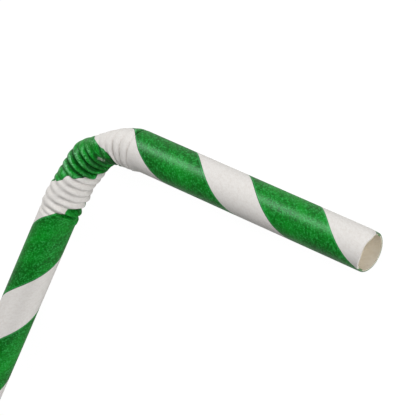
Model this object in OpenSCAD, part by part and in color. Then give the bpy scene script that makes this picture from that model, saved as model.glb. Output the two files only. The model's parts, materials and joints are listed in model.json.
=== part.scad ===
// Paper drinking straw with a crimped flexible section, bent and lying flat.
// +Z is up, +Y runs from the foot end along the long arm, and the bend turns towards +X.
// The origin is below the middle of the straw's box, on the surface that it lies on.

/* [Tube] */
// Outside diameter of the plain tube
tube_d = 6; // [5:0.5:7]
// Thickness of the wound paper wall
wall = 0.4; // [0.3:0.05:0.6]
// Straight length from the foot end to the first crimp
foot_len = 125.6; // [60:0.2:180]
// Straight length from the last crimp to the mouth end
mouth_len = 42.4; // [20:0.2:80]

/* [Crimps] */
// Number of raised rings in the flexible section
crimp_count = 15; // [12:1:18]
// Distance between two neighbouring valleys along the centre line
crimp_pitch = 1.32; // [1.2:0.02:1.6]
// Depth of the valleys near the foot end, where the rings are pushed together
crimp_depth = 0.5; // [0.3:0.05:0.6]
// Depth of the valleys near the mouth end, where the rings are pulled out
pulled_depth = 0.2; // [0.1:0.05:0.3]
// Rise of the pushed rings above the plain tube
crest_rise = 0.2; // [0:0.05:0.3]
// Share of the valleys' depth that is left on the outer side, where the wall is drawn straight
outer_share = 0.5; // [0.2:0.05:1]
// Unevenness of the rings, as each one was folded a little differently
fold_wander = 0.04; // [0:0.01:0.08]

/* [Bend] */
// Angle that the mouth arm is turned from the foot arm's line
bend = 77; // [0:1:90]
// Share of the turn that is spread evenly over the flexible section
even_share = 0.47; // [0:0.01:0.6]
// Place where the elbow starts, as a share of the flexible section
elbow_from = 0.42; // [0.2:0.01:0.5]
// Distance that the outer wall is drawn in at the middle of the elbow
elbow_flat = 1.1; // [0:0.1:1.2]
// Distance that the inner wall is drawn in ahead of the fold that closes
elbow_draw = 0.4; // [0:0.05:0.5]
// Extra depth of the fold that closes on the inner side of the elbow
pinch_depth = 0.4; // [0:0.05:0.5]
// Swell of the inner wall past that fold
pinch_swell = 0.3; // [0:0.05:0.3]

/* [Hidden] */
tube_r = tube_d / 2;
bore_r = tube_r - wall;
flex_len = crimp_count * crimp_pitch;
// half width of the first and the last valley
lip = 0.3 * crimp_pitch;
// length of folded wall inside each arm's wall, and its distance from both faces there
lap = 3 * wall;
tuck = wall / 8;
// places along each ring, as shares of the pitch from its valley, and steps round the tube
ring_places = [0, 0.15, 0.35, 0.5, 0.65, 0.85];
sides = 36;
// a high power makes the valleys narrow and the crests wide and round
ring_power = 4;
// where the outer wall is drawn in most, and how far that reaches to the foot and to the mouth
flat_at = 0.68;
flat_foot = 0.2;
flat_mouth = 0.32;
pinch_at = round(0.8 * crimp_count);

function clamp(t) = min(1, max(0, t));
function ease(t) = let (c = clamp(t)) c * c * (3 - 2 * c);
function mix(from, to, t) = from + (to - from) * t;

// Direction of the centre line at a share u of the flexible section, in degrees
function turn(u) = let (c = clamp(u))
    bend * mix(ease((c - elbow_from) / (1 - elbow_from)), c, even_share);

// Length of the wall at angle a, for one unit of centre line; a is 0 on the inner side of
// the bend, 90 on top and 180 on the outer side
function stretch(u, a) =
    1 - tube_r * cos(a) * (turn(u + 0.03) - turn(u - 0.03)) / 0.06 * PI / 180 / flex_len;

// How far the rings are pulled out, from 0 at the foot end to 1 at the mouth end
function pulled(u) = ease((u - 0.5) / 0.35);

// Share of an effect at distance t from its middle, fading to nothing at the given reach
function near(t, reach) = ease(1 - abs(t) / reach);

// Radius on the ring crests. At the elbow the outer wall is drawn in. The inner wall is drawn
// in as well, then pinched, and it swells past the pinch.
function crest(u, a) = let (inner = pow(max(0, cos(a)), 2), outer = pow(max(0, -cos(a)), 2)) tube_r
    + crest_rise * (1 - pulled(u)) / pow(stretch(u, a), 2)
    - elbow_flat * outer * near(u - flat_at, u < flat_at ? flat_foot : flat_mouth)
    - elbow_draw * inner * near(u - 0.61, 0.22)
    + pinch_swell * inner * near(u - 0.91, 0.14);

// Depth of the valleys, with the deep fold that closes the inner side of the elbow
function depth(u, a, ring) =
    mix(1, outer_share, max(0, -cos(a)))
        * mix(crimp_depth, pulled_depth, pulled(u)) / pow(stretch(u, a), 1.5)
    + pinch_depth * pow(max(0, cos(a)), 3) * (ring == pinch_at ? 1 : 0)
    + fold_wander * (sin(2 * a + 97 * ring) + sin(3 * a - 61 * ring));

// Outside and inside radius at distance s along the flexible section. Valleys are at whole
// rings. The folded wall is thick, so its outer face has wide crests and its inner face has
// narrow ones.
function outer_skin(s, a) = let (u = s / flex_len, ring = s / crimp_pitch)
    crest(u, a) - depth(u, a, round(ring)) * pow(abs(cos(180 * ring)), ring_power);
function inner_skin(s, a) = let (u = s / flex_len, ring = s / crimp_pitch)
    crest(u, a) - wall - depth(u, a, round(ring)) * (1 - pow(abs(sin(180 * ring)), ring_power));

// Stations along the folded wall: two at each end inside the arms, the rest on the rings
stations = concat(
    [-lip - lap, -lip + tuck],
    [for (k = [0 : crimp_count - 1]) each [for (place = ring_places) (k + place) * crimp_pitch]],
    [flex_len, flex_len + lip - tuck, flex_len + lip + lap]
);
last = len(stations) - 1;
function free(i) = i > 1 && i < last - 1;
function outer_r(i, a) = free(i) ? outer_skin(stations[i], a) : tube_r - tuck;
function inner_r(i, a) = free(i) ? inner_skin(stations[i], a) : bore_r + tuck;

// The outer face leaves out the middle of each crest, and the inner face the middle of each
// valley but the first and the last, because they are nearly flat there
function place_of(i) = i > 2 && i < last - 2 ? ring_places[(i - 2) % len(ring_places)] : -1;
outer_rows = [for (i = [0 : last]) if (place_of(i) != 0.5) i];
inner_rows = [for (i = [0 : last]) if (place_of(i) != 0) i];

// Centre line, summed from station to station
function heading(s) = turn(s / flex_len);
function run(i) = i < last ? stations[i + 1] - stations[i] : 0;
function step(i) = let (h = heading(stations[i] + run(i) / 2)) run(i) * [sin(h), cos(h)];
path = [for (i = 0, p = [0, stations[0]]; i <= last; p = p + step(i), i = i + 1) p];
tip = path[last] - lap * [sin(bend), cos(bend)];
mouth = tip + mouth_len * [sin(bend), cos(bend)];
foot = [0, -lip - foot_len];

// The point of the wall at station i, angle a and radius r, and the angles of its loops
function wall_point(i, a, r) = let (h = heading(stations[i]))
    [path[i].x + r * cos(a) * cos(h), path[i].y - r * cos(a) * sin(h), r * sin(a)];
angles = [for (j = [0 : sides - 1]) 360 * (j + 0.25) / sides];
outer_points = [for (i = outer_rows) each [for (a = angles) wall_point(i, a, outer_r(i, a))]];
inner_points = [for (i = inner_rows) each [for (a = angles) wall_point(i, a, inner_r(i, a))]];

// The straw's box, which places the origin
rim_x = tube_r * cos(bend);
rim_y = tube_r * sin(bend);
x_min = min([for (p = outer_points) p.x]);
x_max = max(mouth.x + rim_x, max([for (p = outer_points) p.x]));
y_max = max(mouth.y + rim_y, max([for (p = outer_points) p.y]));
z_min = min([for (p = outer_points) p.z]);
origin = [(x_min + x_max) / 2, (foot.y + y_max) / 2, z_min];

// Two triangles for each cell between loops a and b of the folded wall
function cells(a, b) = [
    for (j = [0 : sides - 1]) let (k = (j + 1) % sides)
        each [[a + j, a + k, b + k], [a + j, b + k, b + j]]
];
inner_start = len(outer_points);
outer_end = inner_start - sides;
inner_end = inner_start + len(inner_points) - sides;
wall_faces = concat(
    [for (p = [0 : sides : outer_end - 1]) each cells(p, p + sides)],
    [for (p = [inner_start : sides : inner_end - 1]) each cells(p + sides, p)],
    cells(inner_start, 0),
    cells(outer_end, inner_end)
);

// A plain wound tube that starts at a point and runs in one direction
module arm(start, direction, length) {
    translate([start.x, start.y, 0])
        rotate([-90, 0, -direction])
            difference() {
                cylinder(r = tube_r, h = length, $fn = 96);
                translate([0, 0, -1])
                    cylinder(r = bore_r, h = length + 2, $fn = 96);
            }
}

// The crimped section, one folded wall with its ends inside the arms' walls
module flexible_section() {
    polyhedron(points = concat(outer_points, inner_points), faces = wall_faces);
}

module straw() {
    color("mediumseagreen")
        translate(-origin)
            union() {
                arm(foot, 0, foot_len);
                arm(tip, bend, mouth_len);
                flexible_section();
            }
}

straw();
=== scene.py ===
import json
from math import ceil, cos, hypot, pi, radians, sin

import bmesh
import bpy
from mathutils import Matrix, Vector, noise


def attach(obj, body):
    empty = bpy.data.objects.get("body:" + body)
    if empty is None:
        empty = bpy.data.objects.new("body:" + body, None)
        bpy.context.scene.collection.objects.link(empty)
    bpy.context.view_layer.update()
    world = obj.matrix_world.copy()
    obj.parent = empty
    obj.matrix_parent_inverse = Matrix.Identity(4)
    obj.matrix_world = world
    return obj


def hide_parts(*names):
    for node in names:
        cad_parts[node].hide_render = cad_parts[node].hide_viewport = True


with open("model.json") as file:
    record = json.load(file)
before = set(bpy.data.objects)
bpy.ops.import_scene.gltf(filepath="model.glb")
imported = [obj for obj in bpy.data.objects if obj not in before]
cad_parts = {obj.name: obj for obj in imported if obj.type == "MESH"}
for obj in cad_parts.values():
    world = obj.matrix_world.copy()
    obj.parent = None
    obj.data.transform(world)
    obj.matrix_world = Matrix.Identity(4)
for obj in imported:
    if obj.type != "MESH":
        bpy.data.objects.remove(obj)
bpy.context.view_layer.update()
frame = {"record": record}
mm = 0.001
mounts = {mount["name"]: mount for mount in frame["record"]["mounts"]}
footEnd = Vector(mounts["foot_bore"]["pos_m"])
mouthEnd = Vector(mounts["mouth_bore"]["pos_m"])
mouthWay = Vector(mounts["mouth_bore"]["axis"])


# Shader nodes

class Value:  # one output socket, so that a sum written in Python adds its Math nodes
    def __init__(self, surface, socket):
        self.surface, self.socket = surface, socket

    def __add__(self, other):
        return self.surface.math("ADD", self, other)

    def __sub__(self, other):
        return self.surface.math("SUBTRACT", self, other)

    def __rsub__(self, other):
        return self.surface.math("SUBTRACT", other, self)

    def __mul__(self, other):
        return self.surface.math("MULTIPLY", self, other)

    def __truediv__(self, other):
        return self.surface.math("DIVIDE", self, other)

    __radd__, __rmul__ = __add__, __mul__


class Surface:  # a material and the one way to add a node to it
    def __init__(self, name, tree=None):
        if tree is None:
            self.material = bpy.data.materials.new(name)
            self.material.use_nodes = True
            tree = self.material.node_tree
        self.tree = tree
        self.tree.nodes.clear()

    def node(self, kind, settings=None, output=0, **inputs):
        made = self.tree.nodes.new("ShaderNode" + kind)
        for name, value in (settings or {}).items():
            setattr(made, name, value)
        sockets = {socket.identifier.replace(" ", ""): socket for socket in made.inputs}
        for name, value in inputs.items():
            if isinstance(value, Value):
                self.tree.links.new(value.socket, sockets[name])
            elif value is not None:
                sockets[name].default_value = value
        return Value(self, made.outputs[output]) if made.outputs else made

    def math(self, operation, a, b=None, clamped=False):
        return self.node("Math", {"operation": operation, "use_clamp": clamped}, Value=a, Value_001=b)

    def fade(self, value, low, high):  # 0 at low, 1 at high, smooth between
        settings = {"interpolation_type": "SMOOTHSTEP"}
        return self.node("MapRange", settings, Value=value, FromMin=low, FromMax=high)

    def band(self, value, middle, half):  # 1 at the middle, 0 from half a width away
        return 1 - self.fade(self.math("ABSOLUTE", value - middle), 0.0, half)

    def mix(self, factor, a, b):
        settings = {"data_type": "RGBA"}
        return self.node("Mix", settings, output=2, Factor_Float=factor, A_Color=a, B_Color=b)

    def vector(self, x, y, z):
        return self.node("CombineXYZ", X=x, Y=y, Z=z)

    def noise(self, place, scale, detail, roughness):
        return self.node("TexNoise", Vector=place, Scale=scale, Detail=detail, Roughness=roughness)

    def blend(self, values, shares):  # the values added up, each times its share
        total = values[0] * shares[0]
        for value, share in zip(values[1:], shares[1:]):
            total = total + value * share
        return total

    def attribute(self, name):  # a number kept on the mesh's vertices
        return self.node("Attribute", {"attribute_name": name}, output=2)

    def paper(self):  # millimetres of paper along the straw, and turns round it
        uv = self.node("SeparateXYZ", Vector=self.node("UVMap", {"uv_map": "paper"}))
        return Value(self, uv.socket.node.outputs[1]) * uvLength, uv

    def finish(self, shader):
        self.node("OutputMaterial", Surface=shader)
        return self.material


def linear(red, green, blue):  # a colour read off as 0 to 255, as the shader wants it
    parts = [c / 255 for c in (red, green, blue)]
    return (*[c / 12.92 if c <= 0.04045 else ((c + 0.055) / 1.055) ** 2.4 for c in parts], 1)


# The straw's form, in millimetres, and in rings from the foot side of the crimps. Angles round the
# tube are 0 on the inner side of the bend, 90 on top and 180 on the outer side.

straw = {
    "tubeRadius": 3.0,
    "wall": 0.4,
    "footLength": 125.6,
    "mouthLength": 42.4,
    "ringCount": 15,
    "ringPitch": 1.32,
    "lipRings": 0.3,  # half width of the first and the last valley
    "crestPower": 2.1,
    "crestRise": 0.17,
    "pushedDepth": 0.58,
    "pulledDepth": 0.16,
    "pulledFrom": 0.5,  # share of the crimps from which the rings are pulled out
    "pulledOver": 0.35,
    "outerShare": 0.45,  # share of the depth that is left on the outer side
    "closing": 1.5,  # power by which the folds deepen where the wall is pushed together
    "bend": 77.0,
    "evenShare": 0.47,
    "elbowFrom": 0.42,
    "elbowFlat": 1.12,
    "flatAt": 10.2,
    "flatFoot": 3.0,
    "flatMouth": 5.0,
    "pinchRing": 12,
    "pinchDepth": 0.5,
    "pinchRise": 0.28,
    "pinchReach": 0.7,
    "ringWander": 0.1,
    "wanderNoise": (0.9, 11.7),  # scale and seed
    "wanderMargin": 1.2,
    "depthWander": 0.4,
    "depthNoise": (1.4, 3.1),
    "noiseStep": 0.83,
    "crestFold": -0.25,  # the fold attribute on a crest; it is 1 in a sharp valley
    "foldPower": 3,
    "softening": 0.85,  # share of the fold attribute that a round valley loses
    # fold value on the mouth's outer rim, which the printed paper turns into painted shade
    "rimFold": 0.4,
    "rimWorn": 0.5,
    "flexPaper": 32.47,  # paper in the crimps and their margins
    "flexMargin": 1.5,
    "rimRound": 0.16,
    "boreRound": 0.07,
    "lipRows": (1.6, 1.2, 0.9, 0.6, 0.4),  # rows near each end, by their distance from it
    "lipLength": 1.6,
    "sides": 112,
    "ringRows": 16,
    "bunching": 0.11,  # how much closer the rows lie in the valleys
    "marginRows": 22,
    "armRows": 14,
    "rimRows": 4,
    "cutRows": 6,
    "weld": 0.0000001,  # metres
}
flexLength = straw["ringCount"] * straw["ringPitch"]
lip = straw["lipRings"] * straw["ringPitch"]
margin = straw["flexMargin"] * straw["ringPitch"]
footPlain = straw["footLength"] - (margin - lip)
mouthPlain = straw["mouthLength"] - (margin - lip)
paperTotal = footPlain + straw["flexPaper"] + mouthPlain
uvLength = 100  # millimetres of paper for one unit of the UV map
turnStep = 0.03  # share of the crimps over which the bend's rate is taken
slotOf = {"outer": 0, "outerRim": 0, "inner": 1, "rim": 2, "innerRim": 2}


def ease(t):
    t = min(1, max(0, t))
    return t * t * (3 - 2 * t)


def blendTo(low, high, t):
    return low + (high - low) * t


def turn(share):  # direction of the centre line, in degrees
    t = min(1, max(0, share))
    elbow = ease((t - straw["elbowFrom"]) / (1 - straw["elbowFrom"]))
    return straw["bend"] * blendTo(elbow, t, straw["evenShare"])


def stretch(share, angle):  # wall length at this angle for one unit of centre line
    rate = (turn(share + turnStep) - turn(share - turnStep)) / (2 * turnStep) * pi / 180 / flexLength
    return 1 - straw["tubeRadius"] * cos(angle) * rate


def pulled(share):  # 0 where the rings are pushed together, 1 where they are pulled out
    return ease((share - straw["pulledFrom"]) / straw["pulledOver"])


def uneven(ring, angle, scale, seed):  # smooth chance from -1 to 1, the same all the way round
    around = cos(angle) * scale, sin(angle) * scale
    return noise.noise(Vector((*around, ring * straw["noiseStep"] + seed)))


# Where the crimped wall strays from an even one. Each soft spot is (ring, angle, rings, degrees,
# amount); it is full up to half its size and gone at one and a half times its size. A size of 99
# rings takes in the whole straw.

spotReach = 1.5
strays = {
    "radius": [  # millimetres
        (9.1, -5, 2.0, 45, -0.25),
        (14.4, 10, 1.3, 45, 0.3),
        (4.1, 165, 2.0, 45, -0.16),
        (4.1, -32, 0.45, 30, -0.28),
        (2.3, -35, 0.5, 30, 0.15),
        (-0.35, -30, 0.22, 35, -0.13),
        (-0.95, -35, 0.36, 35, 0.16),
        (-0.78, 120, 0.22, 50, -0.15),
        (9.0, 165, 0.5, 28, -0.13),
        (13.6, 165, 0.4, 28, -0.12),
        (9.0, 0, 0.6, 35, 0.1),
        (11.8, 5, 0.5, 35, 0.09),
    ],
    "place": [  # rings along the straw
        (4.5, 155, 2.5, 25, -0.4),
        (0.7, 152, 0.9, 25, -0.45),
        (0.4, -30, 1.0, 45, -0.3),
        (0.9, 20, 0.5, 25, -0.25),
        (12.2, 35, 0.8, 25, 0.3),
        (13.2, 90, 1.0, 60, -0.15),
        (6.0, 80, 8.0, 55, -0.12),
    ],
    "depth": [  # share of the valley's depth
        (0.5, 10, 1.0, 35, 0.7),
        (2.5, 112, 2.6, 36, -0.6),
        (2.5, 72, 2.6, 16, -0.3),
        (3.0, 10, 1.4, 45, -0.35),
        (7.2, 60, 1.5, 60, 0.3),
        (10.3, 40, 1.2, 35, -0.4),
        (10.2, 95, 0.6, 30, -0.5),
        (14.0, 85, 1.6, 35, 0.9),
        (15.0, 152, 0.4, 20, 1.6),
        (9.3, 132, 2.0, 34, -0.65),
        (2.8, 60, 2.4, 50, -0.15),
        (3.0, 66, 2.0, 26, -0.2),
        (12.0, 95, 0.45, 35, -0.7),
        (12.9, 78, 0.45, 30, 0.6),
        (7.0, 60, 0.45, 50, 0.3),
    ],
    "round": [  # 1 for round valleys, 0 for sharp ones
        (2.6, 50, 2.6, 100, 1.0),
        (10.2, 95, 0.5, 30, 0.8),
        (9.3, 135, 2.0, 36, 0.85),
    ],
    "crease": [  # painted shade: how much darker the colour is made in creases
        (11.3, 27, 1.1, 20, 0.65),
        (10.2, 62, 0.5, 12, 0.3),
        (8.0, 38, 0.4, 30, 0.4),
        (7.0, 60, 0.4, 50, 0.35),
        (6.1, 80, 0.3, 50, 0.25),
        (0.05, 15, 0.3, 50, 0.3),
        (9.6, 40, 1.9, 28, 0.5),
    ],
    "cut": [  # millimetres that the mouth's uneven cut leaves the wall longer
        (15.0, 118, 99.0, 56, 0.6),
    ],
    "pressed": [  # millimetres that the blade pressed the mouth's rim in
        (15.0, 168, 99.0, 34, 0.24),
    ],
    "smear": [  # 1 where the print is dragged over the rim
        (15.0, 211, 99.0, 8, 0.8),
        (15.0, 24, 99.0, 11, 1.0),
    ],
    "worn": [  # 1 where the print is rubbed off
        (10.3, 53, 0.36, 8, 1.0),
        (10.7, 45, 0.3, 9, 0.45),
        (9.1, 47, 0.15, 5, 0.3),
        (9.9, 106, 1.0, 20, 0.27),
    ],
    "slip": [  # millimetres of paper
        (2.0, -40, 0.6, 25, 1.0),
        (6.8, -15, 0.8, 22, -0.9),
        (4.8, 75, 1.2, 24, 0.5),
        (3.9, 97, 0.9, 14, 0.7),
        (3.0, 120, 1.6, 35, 0.8),
        (0.3, 47, 0.3, 9, 0.8),
        (0.7, 26, 0.35, 10, -0.6),
        (10.6, 102, 1.0, 25, 0.5),
        (11.8, 66, 0.7, 10, 0.3),
        (12.9, 8, 0.5, 11, -2.8),
        (5.4, 54, 0.8, 18, 0.55),
    ],
}


def apart(angle, degrees):  # how far an angle is from another one in degrees, the short way round
    return abs((angle - radians(degrees) + pi) % (2 * pi) - pi)


def stray(kind, ring, angle):
    total = 0.0
    for at, middle, rings, degrees, amount in strays[kind]:
        along = (ring - at) / rings
        if abs(along) < spotReach:
            across = apart(angle, middle) / radians(degrees)
            total += amount * ease(spotReach - hypot(along, across))
    return total


def crest(ring, angle):
    share = ring / straw["ringCount"]
    inner, outer = max(0, cos(angle)), max(0, -cos(angle))
    rise = straw["crestRise"] * (1 - pulled(share)) / stretch(share, angle)
    past = ring - straw["pinchRing"] - straw["pinchReach"]
    proud = straw["pinchRise"] * inner ** 2 * ease(1 - abs(past) / straw["pinchReach"])
    flatRings = straw["flatFoot"] if ring < straw["flatAt"] else straw["flatMouth"]
    flat = straw["elbowFlat"] * outer ** 2 * ease(1 - abs(ring - straw["flatAt"]) / flatRings)
    return straw["tubeRadius"] + rise + proud - flat


def valleyDepth(ring, near, angle):
    share = ring / straw["ringCount"]
    depth = blendTo(straw["pushedDepth"], straw["pulledDepth"], pulled(share))
    depth /= stretch(share, angle) ** straw["closing"]
    depth *= blendTo(1, straw["outerShare"], max(0, -cos(angle)))
    chance = straw["depthWander"] * uneven(near, angle, *straw["depthNoise"])
    depth *= 1 + chance + stray("depth", near, angle)
    if near == straw["pinchRing"]:
        depth += straw["pinchDepth"] * max(0, cos(angle)) ** 2
    return depth


def inValley(ring):  # 1 at the bottom of a valley, 0 on a crest
    return abs(1 - 2 * (ring % 1))


# Radius of the crimped wall. Its outer face has wide crests and narrow valleys, and its inner face
# the opposite.

def skin(ring, angle, inside):
    near = round(min(max(ring, 0), straw["ringCount"]))
    radius = stray("radius", ring, angle) - (straw["wall"] if inside else 0)
    if 0 <= ring <= straw["ringCount"]:
        if inside:
            wave = 1 - (1 - inValley(ring)) ** straw["crestPower"]
        else:
            sharp, soft = inValley(ring) ** straw["crestPower"], cos(pi * ring) ** 2
            wave = blendTo(sharp, soft, stray("round", ring, angle))
        return radius + crest(ring, angle) - valleyDepth(ring, near, angle) * wave
    end = crest(near, angle) - valleyDepth(near, near, angle)
    beyond = abs(ring - near) * straw["ringPitch"] / lip
    return radius + blendTo(end, straw["tubeRadius"], ease(beyond))


def foldOf(ring, angle):  # 1 at the bottom of a sharp valley, below 0 on a crest, 0 on the plain tube; the printed paper paints shade in the valleys and a highlight on the crests from it
    if not 0 <= ring <= straw["ringCount"]:
        return 0.0
    sharp = 1 - straw["softening"] * min(1, stray("round", ring, angle))
    fold = blendTo(straw["crestFold"], 1, inValley(ring) ** straw["foldPower"])
    # the spots in creases are painted shade
    return sharp * fold + stray("crease", ring, angle)


def wanderOf(ring, angle):  # how far a fold strays along the straw, in rings
    edge = straw["wanderMargin"]
    fade = ease(ring + edge) * ease(straw["ringCount"] + edge - ring)
    chance = straw["ringWander"] * uneven(ring, angle, *straw["wanderNoise"])
    return fade * (chance + stray("place", ring, angle))


def flexRings():  # ring coordinate of each row, close together in the valleys
    rings = []
    for i in range(straw["marginRows"]):
        rings.append(-straw["flexMargin"] * (1 - i / straw["marginRows"]))
    for i in range(straw["ringCount"] * straw["ringRows"]):
        t = i / straw["ringRows"]
        rings.append(t - straw["bunching"] * sin(2 * pi * t))
    for i in range(straw["marginRows"] + 1):
        rings.append(straw["ringCount"] + straw["flexMargin"] * i / straw["marginRows"])
    return rings


# Each row of the wall is (face, ring, length along the arm, radius). The rows go up the outside,
# over the mouth's rim, down the inside and over the foot's rim, so that the wall closes.

def rimRows(where, length):
    outside, bore = straw["tubeRadius"], straw["tubeRadius"] - straw["wall"]
    outer, inner = straw["rimRound"], straw["boreRound"]
    steps, cuts = straw["rimRows"], straw["cutRows"]
    rounding = []
    for i in range(steps + 1):
        bow = pi / 2 * i / steps
        rounding.append((1 - cos(bow), 1 - sin(bow)))
    rows = []
    for drop, back in rounding:
        rows.append(("outerRim", where, length - outer * back, outside - outer * drop))
    for i in range(1, cuts):
        rows.append(("rim", where, length, blendTo(outside - outer, bore + inner, i / cuts)))
    for drop, back in reversed(rounding):
        rows.append(("innerRim", where, length - inner * back, bore + inner * drop))
    return rows


def wallRows():
    rings, steps = flexRings(), straw["armRows"]
    foot = [footPlain - back for back in reversed(straw["lipRows"])]
    foot += [footPlain * (1 - i / steps) for i in range(1, steps)]
    mouth = [mouthPlain * i / steps for i in range(1, steps)]
    mouth += [mouthPlain - back for back in straw["lipRows"]]
    outside, bore = straw["tubeRadius"], straw["tubeRadius"] - straw["wall"]
    start, end = rings[0], rings[-1]
    rows = [("outer", start, -length, outside) for length in foot]
    rows += [("outer", ring, 0, None) for ring in rings]
    rows += [("outer", end, length, outside) for length in mouth]
    rows += rimRows(end, mouthPlain)
    rows += [("inner", end, length, bore) for length in reversed(mouth)]
    rows += [("inner", ring, 0, None) for ring in reversed(rings[::2])]
    rows += [("inner", start, -length, bore) for length in reversed(foot)]
    rows += [(face, ring, -length, r) for face, ring, length, r in reversed(rimRows(start, footPlain))]
    return rows


class CentreLine:  # the middle of the straw, summed in short steps from the first valley
    step = 0.01

    def __init__(self):
        self.start, self.end = -lip, flexLength + lip
        count = ceil((self.end - self.start) / self.step)
        self.points = [(0.0, self.start)]
        for k in range(count):
            way = radians(turn((self.start + (k + 0.5) * self.step) / flexLength))
            x, y = self.points[-1]
            self.points.append((x + self.step * sin(way), y + self.step * cos(way)))

    def at(self, s):
        inside = min(self.end, max(self.start, s))
        x, y = self.points[round((inside - self.start) / self.step)]
        way = radians(turn(inside / flexLength))
        beyond = s - inside
        return x + beyond * sin(way), y + beyond * cos(way), way


centreLine = CentreLine()
lineZero = footEnd / mm + Vector((0, straw["footLength"] + lip, 0))


def wallPoint(row, angle):  # in millimetres
    face, ring, length, radius = row
    along = (ring + wanderOf(ring, angle)) * straw["ringPitch"] + length
    if radius is None:
        radius = skin(ring, angle, face == "inner")
    cut = ease(1 - (mouthPlain - length) / straw["lipLength"])
    if cut > 0:
        along += cut * stray("cut", ring, angle)
        radius -= cut ** 2 * stray("pressed", ring, angle)
    x, y, way = centreLine.at(along)
    aside = radius * cos(angle)
    return lineZero + Vector((x + aside * cos(way), y - aside * sin(way), radius * sin(angle)))


tucks = [  # folds that hide more paper than they show: ring, angle, spread in degrees, millimetres
    (0.0, 0, 45, 0.8),
    (1.0, -10, 50, 1.5),
    (12.0, 35, 24, 1.8),
]
tuckEdge = 0.02  # rings from a tuck's middle to where its paper goes in and comes out


def hidden(ring, after, angle):
    paper = 0.0
    for at, middle, spread, length in tucks:
        if ring <= at - tuckEdge < after or ring <= at + tuckEdge < after:
            away = apart(angle, middle) / radians(spread)
            paper += length / 2 * ease(spotReach - away)
    return paper


def paperRun(rows):  # paper from the foot end at each column and row, in millimetres
    flexRows = [i for i, row in enumerate(rows) if row[0] == "outer" and row[3] is None]
    columns = []
    for column in range(straw["sides"]):
        angle = 2 * pi * column / straw["sides"]
        lengths, before = [0.0], wallPoint(rows[flexRows[0]], angle)
        for i in flexRows[1:]:
            point = wallPoint(rows[i], angle)
            shown = (point - before).length
            lengths.append(lengths[-1] + shown + hidden(rows[i - 1][1], rows[i][1], angle))
            before = point
        even = straw["flexPaper"] / lengths[-1]
        paperAt = {}
        for i, length in zip(flexRows, lengths):
            ring = rows[i][1]
            paperAt[ring] = footPlain + length * even + stray("slip", ring, angle)
        run = []
        for face, ring, length, radius in rows:
            if radius is None:
                run.append(paperAt[ring])
            elif face in ("outer", "inner"):
                run.append(footPlain + length + (straw["flexPaper"] if length > 0 else 0))
            else:
                over = straw["tubeRadius"] - radius
                run.append(paperTotal + over if length > 0 else -over)
        columns.append(run)
    return columns


def rollStraw():
    rows, sides = wallRows(), straw["sides"]
    mesh = bmesh.new()
    paper = mesh.loops.layers.uv.new("paper")
    fold = mesh.verts.layers.float.new("fold")
    worn = mesh.verts.layers.float.new("worn")
    smear = mesh.verts.layers.float.new("smear")
    half = 0.5
    bmesh.ops.create_grid(mesh, x_segments=sides, y_segments=len(rows), size=half)
    cells = {}
    for vertex in mesh.verts:
        cells[vertex] = round((vertex.co.x + half) * sides), round((vertex.co.y + half) * len(rows))
    run = paperRun(rows)
    for face in mesh.faces:
        faceRows = [rows[cells[loop.vert][1] % len(rows)] for loop in face.loops]
        face.material_index = min(slotOf[row[0]] for row in faceRows)
        face.smooth = True
        for loop in face.loops:
            column, row = cells[loop.vert]
            loop[paper].uv = (column / sides, run[column % sides][row % len(rows)] / uvLength)
    for vertex, (column, row) in cells.items():
        angle = 2 * pi * column / sides
        here = rows[row % len(rows)]
        kind, ring, length, radius = here
        vertex.co = wallPoint(here, angle) * mm
        if kind == "outer" and radius is None:
            vertex[fold] = foldOf(ring, angle)
            vertex[worn] = stray("worn", ring, angle)
        elif kind == "outerRim" and length > 0:
            vertex[fold] = straw["rimFold"]
            vertex[worn] = straw["rimWorn"]
        vertex[smear] = stray("smear", ring, angle)
    bmesh.ops.remove_doubles(mesh, verts=mesh.verts, dist=straw["weld"])
    bmesh.ops.recalc_face_normals(mesh, faces=mesh.faces)
    made = bpy.data.meshes.new("straw")
    mesh.to_mesh(made)
    mesh.free()
    piece = bpy.data.objects.new("paperStraw", made)
    bpy.context.scene.collection.objects.link(piece)
    return piece


# Papers

stripes = {
    "lead": 23.14,  # length of straw for one turn of the strip
    "circumference": 2 * pi * straw["tubeRadius"],
    "greenShare": 0.5756,
    "start": 33.94188833,  # turns of the strip at the foot end, enough to stay above 0
    "liningShift": 0.42,  # turns that the inner strip is out of step with the outer one
    "seamAt": 0.05,  # millimetres from the strip's edge
    "green": linear(0, 161, 33),
    "greenLight": linear(74, 182, 104),
    "greenDark": linear(0, 93, 10),
    # Painted shade in the valleys and creases, and the strip's dark seam line.
    "greenDeep": linear(0, 46, 3),
    # The crests' colour: partly worn print, partly a painted highlight.
    "greenCrest": linear(124, 206, 142),
    "smear": linear(62, 128, 66),
    "white": linear(238, 234, 231),
    "whiteWorn": linear(218, 210, 204),
    "whiteDeep": linear(206, 194, 182),
    "lining": linear(250, 242, 226),
    "liningDark": linear(240, 230, 210),
    "liningLight": linear(254, 250, 240),
    "liningSeam": linear(200, 184, 156),
    "cut": linear(227, 222, 204),
    "cutDark": linear(210, 203, 183),
    "cutGap": linear(170, 160, 136),
}
stripes["slant"] = (stripes["lead"] ** 2 + stripes["circumference"] ** 2) ** 0.5
stripes["width"] = stripes["lead"] * stripes["circumference"] / stripes["slant"]

noiseMiddle = 0.5
grains = {  # share along the strip, seed, scale, detail and roughness of each noise
    "fibre": (0.5, 0.0, 2.6, 4.0, 0.65),
    "speck": (0.85, 4.0, 4.6, 2.0, 0.55),
    "cloud": (0.35, 9.0, 0.4, 2.0, 0.5),
    "liningFibre": (0.5, 0.0, 2.2, 4.0, 0.65),
    "liningCloud": (0.3, 3.0, 0.5, 3.0, 0.5),
}


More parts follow.
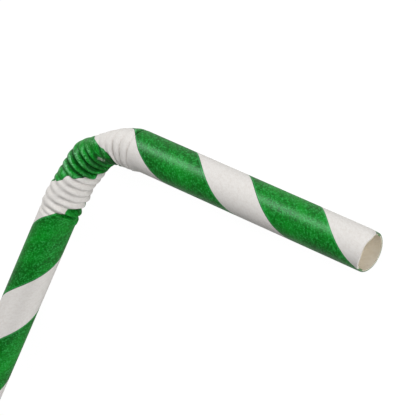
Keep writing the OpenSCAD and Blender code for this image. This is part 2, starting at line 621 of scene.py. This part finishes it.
def stripCoordinates(s, length, around, shift=0.0):  # from 0 to 1 across the wound strip, mm along it
    turns = length / stripes["lead"] + around + (stripes["start"] + shift)
    index = s.math("FLOOR", turns)
    circumference, slant = stripes["circumference"], stripes["slant"]
    along = (around - index) * (circumference ** 2 / slant) - length * (stripes["lead"] / slant)
    return turns - index, along


def grain(s, kind, across, along):
    share, seed, scale, detail, roughness = grains[kind]
    onStrip = s.vector(along * share, across * stripes["width"], seed)
    return s.noise(onStrip, scale, detail, roughness)


def seamLine(s, across, near, far):  # 1 on the strip's two edges, with half widths in millimetres
    width = stripes["width"]
    return s.band(across * width, stripes["seamAt"], near) + s.band((1 - across) * width, 0.0, far)


# Of a fade the low and the high end are given, of a mix of noises the share of each (the specks, the
# fibres and the clouds), and of a colour the amount in which it covers what lies below it.

printed = {
    "raggedEdge": 0.005,  # strip widths that the fibres shift the stripe's edge
    "softEdge": 0.0025,
    "tone": (0.38, 0.62),
    "toneMix": (0.42, 0.25, 0.33),
    "light": (0.5, 0.64),
    "lightMix": (0.7, 0.3),
    "lightAmount": 0.5,
    "edgeLine": 0.16,  # millimetres
    "edgeLineAmount": 0.6,
    "crestFold": (-0.1, -0.22),
    "crestGrain": (0.38, 0.58),
    "crestMix": (0.6, 0.4),
    "crestAmount": 0.9,
    "handledMiddle": 0.32,  # turns round the straw, on the lit side, where the crests get a painted highlight
    "handledHalf": 0.26,
    "creaseFold": (-0.2, 0.65),
    "creaseAmount": 0.75,
    "whiteGrain": (0.38, 0.7),
    "whiteMix": (0.4, 0.6),
    "whiteGrainAmount": 0.5,
    "whiteFold": (0.5, 1.0),
    "whiteFoldAmount": 0.25,
    "seamNear": 0.09,
    "seamFar": 0.06,
    "seamAmount": 0.6,
    "rubGrain": 0.9,
    "rub": (0.2, 0.85),
    "rubAmount": 0.4,
    "relief": 0.00004,  # metres
    "reliefStrength": 0.5,
    "fibreHeight": 0.6,
    "seamHeight": 0.8,
    "whiteRoughness": 0.88,
    "greenSmoother": 0.48,
    "foldRougher": 0.2,
    "specular": 0.4,
    "specularTint": (0.52, 1, 0.68, 1),
}


def printedPaper():
    s = Surface("printedPaper")
    length, around = s.paper()
    across, along = stripCoordinates(s, length, around)
    noises = [grain(s, kind, across, along) for kind in ("speck", "fibre", "cloud")]
    speck, fibre = noises[:2]
    fold, worn = s.attribute("fold"), s.attribute("worn")
    width, half = stripes["width"], stripes["greenShare"] / 2
    ragged = (fibre - noiseMiddle) * printed["raggedEdge"]
    inside = half - s.math("ABSOLUTE", across - half + ragged)  # strip widths inside the green
    isGreen = s.fade(inside, -printed["softEdge"], printed["softEdge"])
    tone = s.fade(s.blend(noises, printed["toneMix"]), *printed["tone"])
    green = s.mix(tone, stripes["greenDark"], stripes["green"])
    light = s.fade(s.blend(noises, printed["lightMix"]), *printed["light"]) * printed["lightAmount"]
    edge = s.band(inside * width, printed["edgeLine"], printed["edgeLine"]) * printed["edgeLineAmount"]
    green = s.mix(s.math("MAXIMUM", light, edge), green, stripes["greenLight"])
    # Lighter crests: partly worn print, partly a painted highlight, kept to the lit side of the straw.
    crestGrain = s.fade(s.blend(noises, printed["crestMix"]), *printed["crestGrain"])
    crests = s.fade(fold, *printed["crestFold"]) * crestGrain
    litSide = s.band(around, printed["handledMiddle"], printed["handledHalf"])
    green = s.mix(crests * litSide * printed["crestAmount"], green, stripes["greenCrest"])
    # Painted shade: the green is darkened in the valleys and creases.
    crease = s.fade(fold, *printed["creaseFold"]) * printed["creaseAmount"]
    green = s.mix(crease, green, stripes["greenDeep"])
    mottle = s.fade(s.blend(noises, printed["whiteMix"]), *printed["whiteGrain"])
    white = s.mix(mottle * printed["whiteGrainAmount"], stripes["white"], stripes["whiteWorn"])
    # Painted shade: the white is darkened in the valleys.
    crease = s.fade(fold, *printed["whiteFold"]) * printed["whiteFoldAmount"]
    white = s.mix(crease, white, stripes["whiteDeep"])
    seam = seamLine(s, across, printed["seamNear"], printed["seamFar"])
    green = s.mix(seam * printed["seamAmount"], green, stripes["greenDeep"])
    rubbed = s.fade(worn + (speck - noiseMiddle) * printed["rubGrain"], *printed["rub"])
    colour = s.mix(isGreen * (1 - rubbed * printed["rubAmount"]), white, green)
    height = fibre * printed["fibreHeight"] + speck - seam * printed["seamHeight"]
    bump = s.node("Bump", Strength=printed["reliefStrength"], Distance=printed["relief"], Height=height)
    roughness = printed["whiteRoughness"] - isGreen * printed["greenSmoother"] + fold * printed["foldRougher"]
    shader = s.node("BsdfPrincipled", BaseColor=colour, Roughness=roughness, Normal=bump,
                    SpecularIORLevel=printed["specular"], SpecularTint=printed["specularTint"])
    return s.finish(shader)


lining = {  # the mixes are of the fibres and the clouds
    "seamHalf": 0.1,  # millimetres, as the next two
    "ridgeAt": 0.3,
    "ridgeHalf": 0.2,
    "tone": (0.35, 0.65),
    "toneMix": (0.6, 0.4),
    "ridgeAmount": 0.35,
    "seamAmount": 0.7,
    "relief": 0.00005,  # metres
    "reliefStrength": 0.5,
    "fibreHeight": 0.5,
    "roughness": 0.85,
    "fibreSmoother": 0.1,
    "specular": 0.3,
}


def liningPaper():
    s = Surface("liningPaper")
    across, along = stripCoordinates(s, *s.paper(), stripes["liningShift"])
    noises = [grain(s, kind, across, along) for kind in ("liningFibre", "liningCloud")]
    fibre = noises[0]
    seam = seamLine(s, across, lining["seamHalf"], lining["seamHalf"])
    ridgeHighlight = s.band(across * stripes["width"], lining["ridgeAt"], lining["ridgeHalf"])
    tone = s.fade(s.blend(noises, lining["toneMix"]), *lining["tone"])
    colour = s.mix(tone, stripes["liningDark"], stripes["lining"])
    # Painted highlight: a lighter band beside the lining's seam.
    colour = s.mix(ridgeHighlight * lining["ridgeAmount"], colour, stripes["liningLight"])
    colour = s.mix(seam * lining["seamAmount"], colour, stripes["liningSeam"])
    height = fibre * lining["fibreHeight"] - seam
    bump = s.node("Bump", Strength=lining["reliefStrength"], Distance=lining["relief"], Height=height)
    roughness = lining["roughness"] - fibre * lining["fibreSmoother"]
    shader = s.node("BsdfPrincipled", BaseColor=colour, Roughness=roughness, Normal=bump,
                    SpecularIORLevel=lining["specular"])
    return s.finish(shader)


cutEnd = {
    "fibreNoise": (2600.0, 4.0, 0.6),  # scale, detail and roughness, on metres
    "plies": 3,
    "ragged": 0.04,  # millimetres that the fibres shift a ply's edge
    "gapHalf": 0.022,
    "gapAmount": 0.4,
    "tone": (0.35, 0.7),
    "smearGrain": 0.8,
    "smear": (0.35, 0.75),
    "smearAmount": 0.8,
    "relief": 0.00005,  # metres
    "reliefStrength": 0.6,
    "gapHeight": 0.5,
    "roughness": 0.9,
    "fibreSmoother": 0.1,
    "specular": 0.25,
}


def cutPaper():  # the cut ends: the glued plies show as fine rings, and print is smeared over the edge
    s = Surface("cutPaper")
    fibre = s.noise(s.node("TexCoord", output=3), *cutEnd["fibreNoise"])
    length = s.paper()[0]
    depth = s.math("MAXIMUM", length - paperTotal, 0 - length)  # 0 outside, the wall's thickness inside
    halfPly = straw["wall"] / cutEnd["plies"] / 2
    ply = s.math("PINGPONG", depth + (fibre - noiseMiddle) * cutEnd["ragged"], halfPly)
    gap = 1 - s.fade(ply, 0.0, cutEnd["gapHalf"])
    colour = s.mix(s.fade(fibre, *cutEnd["tone"]), stripes["cutDark"], stripes["cut"])
    colour = s.mix(gap * cutEnd["gapAmount"], colour, stripes["cutGap"])
    smear = s.attribute("smear") + (fibre - noiseMiddle) * cutEnd["smearGrain"]
    smeared = s.fade(smear, *cutEnd["smear"])
    colour = s.mix(smeared * cutEnd["smearAmount"], colour, stripes["smear"])
    height = fibre - gap * cutEnd["gapHeight"]
    bump = s.node("Bump", Strength=cutEnd["reliefStrength"], Distance=cutEnd["relief"], Height=height)
    roughness = cutEnd["roughness"] - fibre * cutEnd["fibreSmoother"]
    shader = s.node("BsdfPrincipled", BaseColor=colour, Roughness=roughness, Normal=bump,
                    SpecularIORLevel=cutEnd["specular"])
    return s.finish(shader)


strawPiece = rollStraw()
for material in (printedPaper(), liningPaper(), cutPaper()):
    strawPiece.data.materials.append(material)
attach(strawPiece, "root")
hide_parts("straw")
print("straw rolled")


# Floor, lights and camera

stage = {
    "floorSize": 3.0,
    "floorGrey": 0.64,
    "floorGlow": 1.14,
    "glowShare": 0.85,  # the rest of the floor is lit, so that it keeps a faint shadow
    "glossyShare": 0.1,
    "worldGrey": 0.14,
}


def seenWhite(s):  # 1 for what the camera sees, so that the background is white and adds no light
    path = s.node("LightPath").socket.node.outputs
    direct, glossy = Value(s, path["Is Camera Ray"]), Value(s, path["Is Glossy Ray"])
    through = Value(s, path["Is Transmission Ray"])
    return s.math("ADD", direct + glossy * stage["glossyShare"], through, clamped=True)


def makeFloor():
    mesh = bmesh.new()
    bmesh.ops.create_grid(mesh, x_segments=1, y_segments=1, size=stage["floorSize"] / 2)
    made = bpy.data.meshes.new("floor")
    mesh.to_mesh(made)
    mesh.free()
    floor = bpy.data.objects.new("floor", made)
    bpy.context.scene.collection.objects.link(floor)
    s = Surface("floorPaper")
    plain = s.node("BsdfDiffuse", Color=(*[stage["floorGrey"]] * 3, 1))
    glow = s.node("Emission", Color=(1, 1, 1, 1), Strength=stage["floorGlow"])
    mixed = s.node("MixShader", Fac=seenWhite(s) * stage["glowShare"], Shader=plain, Shader_001=glow)
    floor.data.materials.append(s.finish(mixed))


def makeWorld():
    world = bpy.data.worlds.new("studio")
    world.use_nodes = True
    s = Surface("studio", world.node_tree)
    strength = seenWhite(s) * (1 - stage["worldGrey"]) + stage["worldGrey"]
    light = s.node("Background", Color=(1, 1, 1, 1), Strength=strength)
    s.node("OutputWorld", Surface=light)
    bpy.context.scene.world = world


lamps = [  # name, direction from the bend, distance and size in metres, watts
    ("keyLight", (-0.675, 0.393, 0.624), 1.4, 0.6, 12.8),
    ("sideLight", (0.8, 0.6, 0.45), 1.8, 1.6, 16.6),
    ("lowLight", (0.97, 0.0, 0.3), 1.8, 1.6, 7.6),
]


def makeLight(name, place, target, size, power):
    lamp = bpy.data.lights.new(name, "AREA")
    lamp.shape, lamp.size, lamp.energy = "DISK", size, power
    light = bpy.data.objects.new(name, lamp)
    bpy.context.scene.collection.objects.link(light)
    light.location = place
    light.rotation_euler = (Vector(place) - Vector(target)).to_track_quat("Z", "Y").to_euler()


camera = {
    "lens": 212.92,
    "sensor": 36,
    "nearest": 0.01,
    "fromCorner": (197.95, 140.35, 273.13),  # millimetres from where the arms' middle lines meet
    "right": (0.68007, 0.38039, -0.62675),
    "up": (-0.54174, 0.83673, -0.08000),
    "back": (0.49399, 0.39394, 0.77511),
}


def makeCamera():
    reach = (footEnd.x - mouthEnd.x) / mouthWay.x
    corner = mouthEnd + mouthWay * reach
    lens = bpy.data.cameras.new("camera")
    lens.lens, lens.sensor_width = camera["lens"], camera["sensor"]
    lens.clip_start = camera["nearest"]
    view = bpy.data.objects.new("camera", lens)
    bpy.context.scene.collection.objects.link(view)
    turned = Matrix((camera["right"], camera["up"], camera["back"])).transposed().to_4x4()
    view.matrix_world = Matrix.Translation(corner + Vector(camera["fromCorner"]) * mm) @ turned
    bpy.context.scene.camera = view
    return corner


corner = makeCamera()
makeFloor()
for name, way, distance, size, power in lamps:
    makeLight(name, corner + Vector(way).normalized() * distance, corner, size, power)
makeWorld()
bpy.context.scene.view_settings.view_transform = "Standard"
print("stage set")
